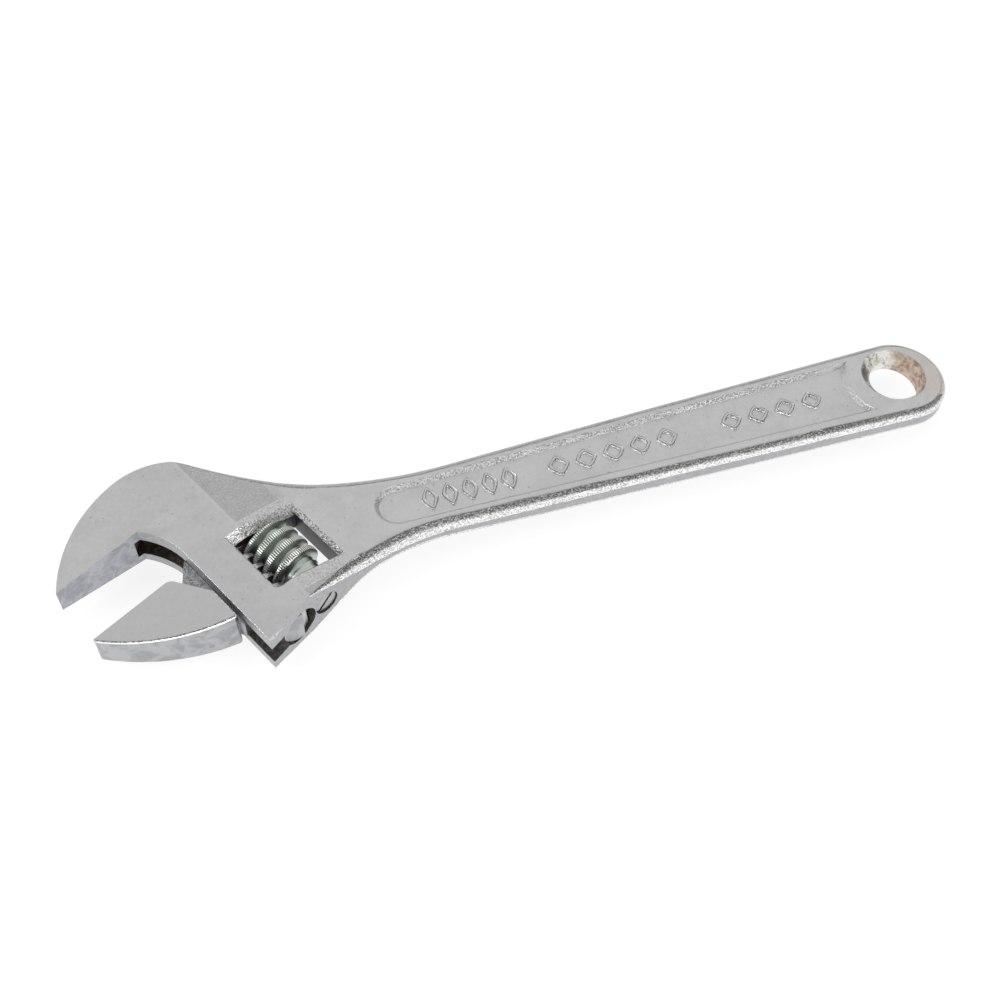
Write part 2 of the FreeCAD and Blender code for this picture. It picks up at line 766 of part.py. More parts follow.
add_polygon(rack_sketch, [
    ("-sheet.rack_root", "-sheet.rack_gap_root / 2"),
    ("-sheet.rack_flat + 0.1", "-sheet.rack_gap_tip / 2"),
    ("-sheet.rack_flat + 0.1", "sheet.rack_gap_tip / 2"),
    ("-sheet.rack_root", "sheet.rack_gap_root / 2"),
])
gap = carve(jaw, "rack_gap_cut", rack_sketch, "4 * sheet.rail_radius", midplane=True)
doc.recompute()
rack = jaw.newObject("PartDesign::LinearPattern", "rack")
rack.Originals = [gap]
rack.Direction = (flat_sketch, ["V_Axis"])
rack.Mode = "Spacing"
rack.setExpression("Offset", "sheet.worm_lead")
rack.setExpression("Occurrences", "sheet.rack_count")
jaw.Tip = rack
doc.recompute()

# ---------------------------------------------------------------- adjusting_worm

worm = new_body("adjusting_worm")
worm_sketch = new_sketch(worm, "worm_section", placement=on_axis(size("worm_line")))
add_polygon(worm_sketch, [
    ("sheet.worm_bore_radius", "sheet.worm_low"),
    ("sheet.worm_hub_radius", "sheet.worm_low"),
    ("sheet.worm_hub_radius", "sheet.worm_hub_top"),
    ("sheet.worm_radius", "sheet.worm_shoulder"),
    ("sheet.worm_radius", "sheet.worm_high"),
    ("sheet.spring_pocket_radius", "sheet.worm_high"),
    ("sheet.spring_pocket_radius", "sheet.worm_high - sheet.spring_pocket_depth"),
    ("sheet.worm_bore_radius", "sheet.worm_high - sheet.spring_pocket_depth"),
])
revolve(worm, "worm_blank", worm_sketch)
doc.recompute()
thread_sketch = new_sketch(worm, "thread_gap", placement=on_axis(size("worm_line")))
add_polygon(thread_sketch, [
    ("sheet.worm_root_radius", "sheet.thread_start - sheet.thread_gap_root / 2"),
    ("sheet.worm_radius + 0.2", "sheet.thread_start - sheet.thread_gap_crest / 2"),
    ("sheet.worm_radius + 0.2", "sheet.thread_start + sheet.thread_gap_crest / 2"),
    ("sheet.worm_root_radius", "sheet.thread_start + sheet.thread_gap_root / 2"),
])
helix(worm, "SubtractiveHelix", "thread", thread_sketch, "sheet.worm_lead", "sheet.thread_length")
doc.recompute()

# ---------------------------------------------------------------- worm_pin


def driver_plane():
    """Offset that puts an XZ sketch on the pin's outer end, turned as the driver slot lies."""
    face = across_slide(size("pin_head_low"))
    spin = FreeCAD.Rotation(FreeCAD.Vector(0, 0, 1), size("driver_slot_turn"))
    centre = FreeCAD.Vector(-size("worm_line"), -size("channel_offset"), 0)
    return face.multiply(FreeCAD.Placement(centre, spin))


pin = new_body("worm_pin")
shank_sketch = new_sketch(pin, "pin_section", placement=on_axis(size("worm_line")))
add_polygon(shank_sketch, [
    ("0", "sheet.pin_head_low"),
    ("sheet.pin_head_radius", "sheet.pin_head_low"),
    ("sheet.pin_head_radius", "sheet.pin_head_low + sheet.pin_head_height"),
    ("sheet.pin_radius", "sheet.pin_head_low + sheet.pin_head_height"),
    ("sheet.pin_radius", "sheet.pin_high"),
    ("0", "sheet.pin_high"),
])
revolve(pin, "pin_turned", shank_sketch)
driver_sketch = new_sketch(pin, "driver_slot", "XZ_Plane", driver_plane())
add_polygon(driver_sketch, [
    ("-sheet.pin_head_radius - 1", "-sheet.driver_slot_width / 2"),
    ("sheet.pin_head_radius + 1", "-sheet.driver_slot_width / 2"),
    ("sheet.pin_head_radius + 1", "sheet.driver_slot_width / 2"),
    ("-sheet.pin_head_radius - 1", "sheet.driver_slot_width / 2"),
])
carve(pin, "driver_slot_cut", driver_sketch, "sheet.driver_slot_depth")
doc.recompute()

# ---------------------------------------------------------------- worm_spring

spring = new_body("worm_spring")
wire_sketch = new_sketch(spring, "wire", placement=on_axis(size("worm_line")))
wire_centre = ("sheet.spring_mean_radius", "sheet.worm_high - 0.3")
add_circle(wire_sketch, wire_centre, "sheet.spring_wire_radius")
helix(spring, "AdditiveHelix", "coil", wire_sketch, "sheet.spring_pitch", "sheet.spring_height")
doc.recompute()

# ---------------------------------------------------------------- placement, checks and files

# Everything above is laid out from the countersink's line; the hang hole's axis is the origin.
nodes = (body, jaw, worm, pin, spring)
for node in nodes:
    node.setExpression("Placement.Base.x", "-sheet.hole_shift")
doc.recompute()

for item in doc.Objects:
    faults = {"Invalid", "Error"} & set(item.State)
    if faults:
        raise RuntimeError(f"{item.Label}: {sorted(faults)}")

os.makedirs("parts", exist_ok=True)
for node in nodes:
    if node.Shape.isNull() or not node.Shape.isValid() or len(node.Shape.Solids) != 1:
        raise RuntimeError(f"{node.Label}: not one sound solid")
    node.Shape.exportStep(f"parts/{node.Label}.step")
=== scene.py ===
import math

import bmesh
import bpy
from mathutils import Matrix, Quaternion, Vector


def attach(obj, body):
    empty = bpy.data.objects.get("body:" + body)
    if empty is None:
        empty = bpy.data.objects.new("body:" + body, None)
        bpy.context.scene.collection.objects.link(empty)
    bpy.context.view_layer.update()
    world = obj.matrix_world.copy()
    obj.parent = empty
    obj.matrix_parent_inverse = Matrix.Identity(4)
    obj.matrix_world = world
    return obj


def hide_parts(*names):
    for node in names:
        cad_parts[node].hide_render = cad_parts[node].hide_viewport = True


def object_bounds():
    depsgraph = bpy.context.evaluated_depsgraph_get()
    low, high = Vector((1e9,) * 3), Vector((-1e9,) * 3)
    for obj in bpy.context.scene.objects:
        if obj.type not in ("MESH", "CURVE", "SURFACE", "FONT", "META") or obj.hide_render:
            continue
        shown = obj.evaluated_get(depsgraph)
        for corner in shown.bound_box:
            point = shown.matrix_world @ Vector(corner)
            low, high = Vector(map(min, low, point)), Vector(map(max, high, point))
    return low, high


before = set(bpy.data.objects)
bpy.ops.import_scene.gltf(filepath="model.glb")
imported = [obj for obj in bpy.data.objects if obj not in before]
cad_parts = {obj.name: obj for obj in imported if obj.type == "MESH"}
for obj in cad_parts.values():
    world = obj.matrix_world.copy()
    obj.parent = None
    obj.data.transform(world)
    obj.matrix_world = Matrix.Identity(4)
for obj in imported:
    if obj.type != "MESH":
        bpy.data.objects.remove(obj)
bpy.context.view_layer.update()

# The part's lengths are in millimetres here, and mm() turns them into Blender's metres.  The head has
# a frame of its own: u runs along the jaws' faces and v along the slide, turned from X and Y by
# HEAD_ANGLE.
MM = 0.001
HEAD_ANGLE = math.radians(25.0)
HOLE_SHIFT = 0.8
CHANNEL_HEIGHT = -0.4


def mm(length):
    return length * MM


def head_point(u, v, z):
    """A point of the head's own frame, in metres."""
    x = u * math.cos(HEAD_ANGLE) - v * math.sin(HEAD_ANGLE) - HOLE_SHIFT
    y = u * math.sin(HEAD_ANGLE) + v * math.cos(HEAD_ANGLE)
    return Vector((x, y, z)) * MM


# ------------------------------------------------------------------ material building blocks


class Nodes:
    """Adds and joins the nodes of one material or world."""

    def __init__(self, tree):
        self.tree = tree
        tree.nodes.clear()

    def add(self, kind, settings=None, **inputs):
        node = self.tree.nodes.new(kind)
        for name, value in (settings or {}).items():
            setattr(node, name, value)
        for name, value in inputs.items():
            self.feed(node.inputs[name.replace("_", " ")], value)
        return node

    def feed(self, socket, value):
        if isinstance(value, bpy.types.NodeSocket):
            self.tree.links.new(value, socket)
        else:
            socket.default_value = value

    def split(self, vector):
        """The three parts of a vector."""
        return self.add("ShaderNodeSeparateXYZ", Vector=vector).outputs

    def math(self, operation, a, b=0.0, clamp=False):
        node = self.add("ShaderNodeMath", {"operation": operation, "use_clamp": clamp})
        self.feed(node.inputs[0], a)
        self.feed(node.inputs[1], b)
        return node.outputs[0]

    def times(self, first, *others):
        product = first
        for value in others:
            product = self.math("MULTIPLY", product, value)
        return product

    def flip(self, share):
        """What a share leaves over: 1 less the share."""
        return self.math("SUBTRACT", 1.0, share)

    def below(self, value, limit):
        return self.math("LESS_THAN", value, limit)

    def near(self, value, centre, reach):
        """1 within reach of the centre, else 0."""
        return self.below(self.math("ABSOLUTE", self.math("SUBTRACT", value, centre)), reach)

    def distance(self, a, b):
        """The length of the slanted side over the legs a and b."""
        squares = self.math("ADD", self.math("POWER", a, 2.0), self.math("POWER", b, 2.0))
        return self.math("SQRT", squares)

    def step(self, value, low, high):
        """0 below low, 1 above high, smooth between."""
        node = self.add("ShaderNodeMapRange", {"interpolation_type": "SMOOTHSTEP"})
        for name, item in (("Value", value), ("From Min", low), ("From Max", high)):
            self.feed(node.inputs[name], item)
        return node.outputs["Result"]

    def mix(self, share, a, b):
        """A colour between a and b."""
        node = self.add("ShaderNodeMix", {"data_type": "RGBA"})
        self.feed(node.inputs[0], share)
        self.feed(node.inputs[6], a)
        self.feed(node.inputs[7], b)
        return node.outputs[2]

    def blend(self, share, a, b):
        """A plain number between a and b."""
        node = self.add("ShaderNodeMix", {"data_type": "FLOAT"})
        self.feed(node.inputs[0], share)
        self.feed(node.inputs[2], a)
        self.feed(node.inputs[3], b)
        return node.outputs[0]

    def noise(self, where, scale, detail, roughness=0.5, distortion=0.0):
        node = self.add("ShaderNodeTexNoise", Scale=scale, Detail=detail, Roughness=roughness)
        self.feed(node.inputs["Distortion"], distortion)
        self.feed(node.inputs["Vector"], where)
        return node.outputs["Fac"]


def tone(value, tint=(1.0, 1.0, 1.0)):
    return (value * tint[0], value * tint[1], value * tint[2], 1.0)


class Skin:
    """A metal being made: where a point lies in both frames, its slope, and its layers so far."""

    def __init__(self, name):
        self.material = bpy.data.materials.new(name)
        self.material.use_nodes = True
        nodes = self.nodes = Nodes(self.material.node_tree)
        self.where = nodes.add("ShaderNodeTexCoord").outputs["Object"]
        self.x, self.y, self.z = nodes.split(self.where)
        turned = nodes.add("ShaderNodeMapping", {"vector_type": "TEXTURE"}, Vector=self.where)
        nodes.feed(turned.inputs["Location"], (mm(-HOLE_SHIFT), 0.0, 0.0))
        nodes.feed(turned.inputs["Rotation"], (0.0, 0.0, HEAD_ANGLE))
        self.u, self.v, _ = nodes.split(turned.outputs[0])
        self.level = nodes.math("SUBTRACT", self.z, mm(CHANNEL_HEIGHT))
        normal = nodes.split(nodes.add("ShaderNodeTexCoord").outputs["Normal"])
        # 0 on upright walls, 1 on the flat faces
        self.upright = nodes.math("ABSOLUTE", normal[2])
        self.toward_y = normal[1]
        self.wall = nodes.flip(nodes.step(self.upright, 0.04, 0.16))
        self.colour = None
        self.height = None

    def noise(self, per_mm, detail=2.0, roughness=0.5, distortion=0.0):
        """Noise with about per_mm features to a millimetre."""
        return self.nodes.noise(self.where, per_mm / MM, detail, roughness, distortion)

    def past(self, value, limits):
        """0 before the first of two limits in mm, 1 after the second, smooth between."""
        first, second = limits
        return self.nodes.step(value, mm(first), mm(second))

    def coat(self, share, colour, strength):
        """Lays a colour over what is there, where the share says and at most at this strength."""
        self.colour = self.nodes.mix(self.nodes.times(share, strength), self.colour, colour)

    def raise_by(self, relief, amount):
        self.height = self.nodes.math("ADD", self.height, self.nodes.times(relief, amount))

    def head_box(self, middle, reach):
        """1 within a box of the head's frame, whose middle and reach are in u and v."""
        along_u = self.nodes.near(self.u, mm(middle[0]), mm(reach[0]))
        along_v = self.nodes.near(self.v, mm(middle[1]), mm(reach[1]))
        return self.nodes.times(along_u, along_v)

    def from_line(self, u):
        """How far a point is from the line along the slide at u, in the channel's plane."""
        return self.nodes.distance(self.level, self.nodes.math("SUBTRACT", self.u, mm(u)))

    def roughen(self, base, patch, spread):
        """A roughness that drifts about its base with the patches."""
        drift = self.nodes.math("SUBTRACT", patch, 0.5)
        return self.nodes.math("ADD", base, self.nodes.times(drift, spread))

    def finish(self, roughness, relief_depth, soften=0.18):
        """The metal shader: colour, roughness, and the relief laid over softened edges."""
        nodes = self.nodes
        bevel = nodes.add("ShaderNodeBevel", {"samples": 4}, Radius=mm(soften))
        bump = nodes.add("ShaderNodeBump", Strength=1.0, Distance=mm(relief_depth), Height=self.height)
        nodes.feed(bump.inputs["Normal"], bevel.outputs[0])
        shader = nodes.add("ShaderNodeBsdfPrincipled", Metallic=1.0, Roughness=roughness)
        nodes.feed(shader.inputs["Base Color"], self.colour)
        nodes.feed(shader.inputs["Normal"], bump.outputs[0])
        nodes.add("ShaderNodeOutputMaterial", Surface=shader.outputs[0])
        return self.material


# ------------------------------------------------------------------ the body's forged chrome

# Places along u.  A pair of limits is where a smooth step starts and where it ends.
GROUND_END = (-139.6, -138.8)
NECK_START = (-139.2, -138.4)
NECK_FADE = (-129.0, -106.0)
FIXED_JAW_END = -153.5
SLOT_MIDDLE = -149.1
SLOT_REACH = 6.75
BORE_LINE = -142.4
WORM_LINE = -135.0
# places along v
RIM_END = (42.7, 43.3)
PIN_SEAT_TOP = 46.8
GREY_SHADE_END = (52.0, 66.0)
FIXED_FACE = 81.0
FIXED_FACE_REACH = 0.8
CHANNEL_TOP = 86.8
# places along x
WORN_START = (-20.0, -15.0)
DIM_FACETS_END = (-6.0, -4.5)
BROWN_START = (0.5, 4.0)
WARM_START = (1.0, 8.0)
# boxes in u and v, half widths, heights and radii
WINDOW_MIDDLE = (-134.7, 57.55)
WINDOW_REACH = (7.8, 8.1)
SLOPE_MIDDLE = (-134.7, 57.5)
SLOPE_REACH = (10.5, 11.0)
SLOT_HALF_WIDTH = 2.63
WORN_HALF_WIDTH = 7.8
RIM_HEIGHT = (5.2, 5.6)
BORE_RADIUS = 4.38
PIN_SEAT_RADIUS = 2.88
SINK_EDGE = (8.6, 9.2)


def find_zones(skin):
    """Flat faces, rolled edges, the head's ground faces and the forged neck."""
    nodes = skin.nodes
    skin.flat = nodes.step(skin.upright, 0.955, 0.99)
    flat_or_wall = nodes.math("MAXIMUM", skin.flat, skin.wall)
    skin.rolled = nodes.math("SUBTRACT", 1.0, flat_or_wall, clamp=True)
    skin.ground = nodes.flip(skin.past(skin.u, GROUND_END))
    skin.neck = nodes.times(skin.past(skin.u, NECK_START), nodes.flip(skin.past(skin.u, NECK_FADE)))


def lay_grain(skin):
    """Relief: strong on the rolled edges, fine on the neck and nearly none elsewhere."""
    nodes = skin.nodes
    grain = nodes.times(skin.rolled, nodes.flip(nodes.times(skin.ground, 0.55)))
    grain = nodes.math("MAXIMUM", grain, nodes.times(skin.neck, 0.13))
    grain = nodes.math("MAXIMUM", grain, 0.012)
    coarse = skin.noise(3.0, 3.0, 0.62)
    pits = nodes.add("ShaderNodeTexVoronoi", Scale=2.6 / MM, Vector=skin.where).outputs["Distance"]
    relief = nodes.math("ADD", nodes.times(coarse, 0.75), nodes.times(pits, 0.45))
    skin.height = nodes.times(relief, grain)
    skin.raise_by(skin.patch, 0.012)


def plate(skin):
    """The satin plating: slow drifts of tone, walls painted darker as painted shade, clouds, mottle and a
    warm end.
    """
    nodes = skin.nodes
    wave = skin.noise(0.06, 3.0, 0.55, 0.4)
    skin.colour = nodes.mix(wave, tone(0.595, (1.0, 0.995, 0.975)), tone(0.67, (0.985, 0.99, 1.0)))
    # painted shade: the upright walls are painted darker than the flat faces
    skin.coat(skin.wall, tone(0.375, (0.98, 0.985, 1.03)), 0.9)
    skin.coat(nodes.times(skin.ground, skin.flat), tone(0.56), 0.6)
    cloud = nodes.step(skin.noise(0.095, 4.0, 0.68, 0.6), 0.42, 0.60)
    skin.coat(nodes.times(cloud, nodes.flip(skin.wall)), tone(0.76, (0.965, 1.0, 0.985)), 0.22)
    skin.coat(nodes.step(skin.mottle, 0.35, 0.7), tone(0.78), 0.20)
    skin.coat(nodes.step(skin.patch, 0.50, 0.68), tone(0.42), 0.15)
    warm = nodes.times(skin.past(skin.x, WARM_START), nodes.step(skin.noise(0.11), 0.35, 0.65))
    skin.coat(warm, tone(0.62, (1.08, 0.96, 0.88)), 0.6)


def fleck_edges(skin):
    """Forged grain with painted shade and highlight: dark flecks where an edge starts to roll over, bright
    ones where it turns down.
    """
    nodes = skin.nodes
    fleck = skin.noise(2.7, 2.0, 0.65)
    dark = nodes.mix(nodes.step(fleck, 0.42, 0.64), tone(0.05, (1.0, 1.0, 0.95)), tone(0.43))
    bright = nodes.mix(nodes.step(fleck, 0.34, 0.54), tone(0.38, (1.0, 1.0, 0.96)), tone(0.98))
    # painted shade at the top of a rolled edge and painted highlight lower down, both broken into flecks
    flecks_shade_and_highlight = nodes.mix(nodes.step(skin.upright, 0.55, 0.82), bright, dark)
    # the slope down into the window gets brighter flecks, a painted highlight, than the handle's edges
    dull_fleck = tone(0.16, (1.0, 1.0, 0.95))
    highlight_flecks = nodes.mix(nodes.step(fleck, 0.36, 0.58), dull_fleck, tone(0.95, (1.0, 1.0, 0.97)))
    by_window = skin.head_box(SLOPE_MIDDLE, SLOPE_REACH)
    flecks_shade_and_highlight = nodes.mix(nodes.times(by_window, 0.75), flecks_shade_and_highlight, highlight_flecks)
    # fewer flecks, so less painted shade and highlight, on the ground head, round the hang hole and on the
    # edges of the +Y side
    near_middle = nodes.near(skin.y, 0.0, mm(WORN_HALF_WIDTH))
    worn_end = nodes.times(skin.past(skin.x, WORN_START), near_middle)
    far_edge = nodes.step(skin.toward_y, 0.10, 0.40)
    share = skin.rolled
    for zone, loss in ((skin.ground, 0.35), (worn_end, 0.8), (far_edge, 0.65)):
        share = nodes.times(share, nodes.flip(nodes.times(zone, loss)))
    skin.coat(share, flecks_shade_and_highlight, 0.85)


def fleck_neck(skin):
    """Fine dark grain on the neck, and a few dark specks all over."""
    nodes = skin.nodes
    fine = nodes.flip(nodes.step(skin.noise(3.6, 2.0, 0.6), 0.36, 0.56))
    skin.coat(nodes.times(skin.neck, fine), tone(0.26), 0.10)
    skin.coat(nodes.step(skin.noise(1.3, 1.0), 0.71, 0.77), tone(0.30), 0.5)


def stain_fixed_jaw(skin):
    """The fixed jaw's face is mottled and a little blue."""
    nodes = skin.nodes
    on_jaw = nodes.times(skin.wall, nodes.below(skin.u, mm(FIXED_JAW_END)))
    jaw_face = nodes.times(on_jaw, nodes.near(skin.v, mm(FIXED_FACE), mm(FIXED_FACE_REACH)))
    wall_blotches = nodes.step(skin.noise(0.33, 4.0, 0.62, 0.8), 0.36, 0.62)
    mottled_wall_tone = nodes.mix(wall_blotches, tone(0.34, (0.95, 0.98, 1.08)), tone(0.52, (0.96, 0.98, 1.05)))
    skin.coat(jaw_face, mottled_wall_tone, 0.8)


def paint_rim_highlight(skin):
    """A painted highlight along the ground faces' edge over the end face, broken up by noise."""
    nodes = skin.nodes
    by_end = nodes.flip(skin.past(skin.v, RIM_END))
    at_face = skin.past(nodes.math("ABSOLUTE", skin.z), RIM_HEIGHT)
    broken_up = nodes.step(skin.noise(0.9), 0.35, 0.55)
    skin.coat(nodes.times(skin.ground, by_end, at_face, broken_up), tone(0.95), 0.7)


def shade_window(skin):
    """The window's upright walls are painted dark, a painted shade."""
    in_window = skin.head_box(WINDOW_MIDDLE, WINDOW_REACH)
    skin.coat(skin.nodes.times(in_window, skin.wall), tone(0.045, (0.98, 0.98, 1.10)), 0.90)


def hammer_countersinks(skin):
    """Hammered flats in the countersinks, bright and dark facets painted as highlight and shade: darker
    towards the head, brown towards the end.
    """
    nodes = skin.nodes
    by_hole = nodes.flip(skin.past(nodes.distance(skin.x, skin.y), SINK_EDGE))
    sunk = nodes.times(by_hole, nodes.flip(skin.flat))
    facet = skin.noise(0.62, 3.0, 0.6, 0.6)
    shadow = tone(0.24, (1.12, 0.97, 0.84))
    hammered = nodes.mix(nodes.step(facet, 0.32, 0.48), shadow, tone(0.95, (1.0, 0.99, 0.94)))
    dim_facets = nodes.mix(nodes.step(facet, 0.45, 0.62), tone(0.10), tone(0.55))
    dark_brown = tone(0.22, (1.36, 0.88, 0.56))
    brown = nodes.mix(nodes.step(facet, 0.34, 0.66), dark_brown, tone(0.60, (1.14, 0.93, 0.76)))
    hammered = nodes.mix(skin.past(skin.x, DIM_FACETS_END), dim_facets, hammered)
    hammered = nodes.mix(skin.past(skin.x, BROWN_START), hammered, brown)
    skin.coat(sunk, hammered, 0.85)
    skin.raise_by(nodes.times(facet, sunk), 0.8)


def shade_channel(skin):
    """The slot, the rail's bore and the pin's seat are painted dark, a painted shade: brown above, grey
    below.
    """
    nodes = skin.nodes
    in_slot = nodes.times(
        nodes.near(skin.level, 0.0, mm(SLOT_HALF_WIDTH)),
        nodes.near(skin.u, mm(SLOT_MIDDLE), mm(SLOT_REACH)),
    )
    in_bore = nodes.below(skin.from_line(BORE_LINE), mm(BORE_RADIUS))
    in_channel = nodes.math("MAXIMUM", in_slot, in_bore)
    in_channel = nodes.times(in_channel, nodes.below(skin.v, mm(CHANNEL_TOP)))
    in_seat = nodes.below(skin.from_line(WORM_LINE), mm(PIN_SEAT_RADIUS))
    in_seat = nodes.times(in_seat, nodes.below(skin.v, mm(PIN_SEAT_TOP)))
    skin.deep = nodes.math("MAXIMUM", in_channel, in_seat)
    patchy = nodes.step(skin.mottle, 0.40, 0.66)
    brown = nodes.mix(patchy, tone(0.17, (1.2, 0.94, 0.72)), tone(0.38, (1.12, 0.97, 0.84)))
    grey = nodes.mix(patchy, tone(0.07, (1.08, 0.98, 0.92)), tone(0.17, (1.04, 0.99, 0.95)))
    skin.coat(skin.deep, nodes.mix(skin.past(skin.v, GREY_SHADE_END), grey, brown), 0.92)


def forged_chrome(name):
    """The body: satin plating over a forging whose rounded edges and neck keep their grain."""
    skin = Skin(name)
    nodes = skin.nodes
    skin.patch = skin.noise(0.26, 4.0, 0.6)
    skin.mottle = skin.noise(1.1, 3.0, 0.6)
    layers = (
        find_zones, lay_grain, plate, fleck_edges, fleck_neck, stain_fixed_jaw, paint_rim_highlight,
        shade_window, hammer_countersinks, shade_channel,
    )
    for layer in layers:
        layer(skin)
    roughness = skin.roughen(nodes.blend(skin.rolled, 0.35, 0.32), skin.patch, 0.10)
    roughness = nodes.math("ADD", roughness, nodes.times(skin.wall, 0.06))
    roughness = nodes.math("ADD", roughness, nodes.times(skin.deep, 0.25))
    return skin.finish(roughness, 0.40)


# ------------------------------------------------------------------ the jaw's ground chrome

WEB_MIDDLE = -153.2
WEB_REACH = 3.1
WEB_HALF_WIDTH = 2.46
WEB_FOOT = 59.0


def scratch_web(skin):
    """The web beside the throat is scratched and has stains."""
    nodes = skin.nodes
    between_faces = nodes.near(skin.level, 0.0, mm(WEB_HALF_WIDTH))
    near_web = nodes.near(skin.u, mm(WEB_MIDDLE), mm(WEB_REACH))
    above_foot = nodes.math("GREATER_THAN", skin.v, mm(WEB_FOOT))
    scratch = nodes.step(skin.noise(1.5, 4.0, 0.7, 1.2), 0.38, 0.60)
    scratched = nodes.mix(scratch, tone(0.11, (1.1, 0.97, 0.9)), tone(0.46, (0.98, 0.99, 1.03)))
    skin.coat(nodes.times(between_faces, near_web, above_foot), scratched, 0.8)


def ground_chrome(name):
    """The jaw: ground and plated, with a faint mottle, painted shade on its walls, painted shade and
    highlight on its rounded edges, dark specks and a grained back.
    """
    skin = Skin(name)
    nodes = skin.nodes
    off_flat = nodes.flip(nodes.step(skin.upright, 0.93, 0.985))
    rounded = nodes.times(nodes.step(skin.upright, 0.04, 0.2), off_flat)
    patch = skin.noise(0.24, 4.0, 0.6)
    mottle = skin.noise(0.9, 3.0, 0.6)
    skin.height = nodes.times(skin.noise(2.3, 3.0, 0.6), nodes.blend(rounded, 0.05, 0.55))
    skin.raise_by(patch, 0.02)
    skin.colour = nodes.mix(mottle, tone(0.555, (1.0, 1.0, 0.98)), tone(0.65, (0.985, 0.99, 1.0)))
    wall_blotches = nodes.step(skin.noise(0.3, 4.0, 0.6, 0.7), 0.36, 0.62)
    mottled_wall_tone = nodes.mix(wall_blotches, tone(0.32, (0.96, 0.985, 1.04)), tone(0.46, (0.98, 0.99, 1.02)))
    # painted shade: the jaw's upright walls are painted darker than its flats, mottled and a little blue
    skin.coat(skin.wall, mottled_wall_tone, 0.9)
    scratch_web(skin)
    # grain flecks on the rounded edges, painted dark where they start to roll over and bright where they
    # turn down: painted shade and highlight
    fleck = skin.noise(2.3, 2.0, 0.65)
    dark = nodes.mix(nodes.step(fleck, 0.42, 0.60), tone(0.12), tone(0.60))
    bright = nodes.mix(nodes.step(fleck, 0.30, 0.50), tone(0.55), tone(0.98))
    skin.coat(rounded, nodes.mix(nodes.step(skin.upright, 0.55, 0.85), bright, dark), 0.8)
    skin.coat(nodes.step(skin.noise(1.5, 1.0), 0.70, 0.76), tone(0.32), 0.30)
    return skin.finish(skin.roughen(0.33, patch, 0.16), 0.25)


# ------------------------------------------------------------------ zinc-plated steel

TEETH = 78
HUB_TOP = 52.2
ROOT_SHADE_START = HUB_TOP + 1.2
ROOT_EDGE = (4.4, 5.4)
CREST_EDGE = (5.92, 6.04)


def zinc_steel(name, base, grain, green=0.02, soften=0.12):
    """Turned steel with a grey-green zinc skin; the worm's crests are painted bright, a painted highlight,
    and its roots darker, a painted shade.
    """
    skin = Skin(name)
    nodes = skin.nodes
    patch = skin.noise(0.42, 4.0, 0.6)
    skin.height = skin.noise(grain, 3.0, 0.6)
    dull = tone(base * 0.95, (1.0 - green, 1.0, 1.0 - green))
    clean = tone(base * 1.25, (1.0 - green / 2, 1.0, 1.0 - green / 2))
    skin.colour = nodes.mix(patch, dull, clean)
    from_axis = skin.from_line(WORM_LINE)
    root = nodes.flip(skin.past(from_axis, ROOT_EDGE))
    in_thread = nodes.math("GREATER_THAN", skin.v, mm(ROOT_SHADE_START))
    # painted shade in the thread's roots
    root_shade = nodes.times(root, in_thread, nodes.step(patch, 0.2, 0.7))
    skin.coat(root_shade, tone(base * 0.5, (1.0, 1.0, 0.92)), 0.35)
    # painted highlight on the crests
    crest = skin.past(from_axis, CREST_EDGE)
    skin.coat(crest, tone(min(0.97, base * 1.9), (0.99, 1.0, 0.95)), 0.85)
    # painted shade: dark notches over the crests' serrations, which the worm's mesh also has
    off_line = nodes.math("SUBTRACT", skin.u, mm(WORM_LINE))
    around = nodes.math("ARCTAN2", skin.level, off_line)
    tooth = nodes.math("COSINE", nodes.times(around, float(TEETH)))
    notch = nodes.times(crest, nodes.flip(nodes.step(tooth, -0.35, 0.35)))
    skin.coat(notch, tone(0.06, (0.97, 1.0, 0.95)), 0.93)
    return skin.finish(skin.roughen(0.36, patch, 0.2), 0.02, soften)


# ------------------------------------------------------------------ carried-over CAD nodes

forged = forged_chrome("forged_chrome")
NODE_FINISH = {
    "wrench_body": forged,
    "sliding_jaw": ground_chrome("ground_chrome"),
    "worm_pin": zinc_steel("pin_steel", 0.42, 3.0),
    "worm_spring": zinc_steel("spring_steel", 0.42, 3.5),
}
for node, material in NODE_FINISH.items():
    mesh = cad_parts[node].data
    mesh.materials.clear()
    mesh.materials.append(material)


def mesh_object(name, bm, sharp_degrees):
    """An object made of a bmesh, smooth but for its sharp edges."""
    mesh = bpy.data.meshes.new(name)
    bm.to_mesh(mesh)
    bm.free()
    for face in mesh.polygons:
        face.use_smooth = True
    mesh.set_sharp_from_angle(angle=math.radians(sharp_degrees))
    made = bpy.data.objects.new(name, mesh)
    bpy.context.scene.collection.objects.link(made)
    return made


def bridge(bm, first, second):
    """A band of four-cornered faces between two closed loops."""
    for index in range(len(first)):
        after = (index + 1) % len(first)
        bm.faces.new((first[index], first[after], second[after], second[index]))


# ------------------------------------------------------------------ the worm, with its serrated crests

WORM_TOP = 64.3
WORM_LOW = 51.0
WORM_RADIUS = 6.3
WORM_HUB = 4.3
SHOULDER = 54.3
SHOULDER_POWER = 1.7
END_BREAK = 0.25
HUB_BREAK = 0.12
LEAD = 3.2
ROOT = 4.42
GROOVE_START = 66.75
TOOTH_DEPTH = 0.17
TOOTH_FLOOR = 5.9
TOOTH_STEEPNESS = 1.5
PARTS_PER_TOOTH = 6
BORE = 2.12
SPRING_POCKET = 3.15
SPRING_POCKET_DEPTH = 3.0
# in metres: points closer than the one are merged, and edges shorter than the other removed
MERGE_DISTANCE = 2e-7
SHORTEST_EDGE = 1e-7
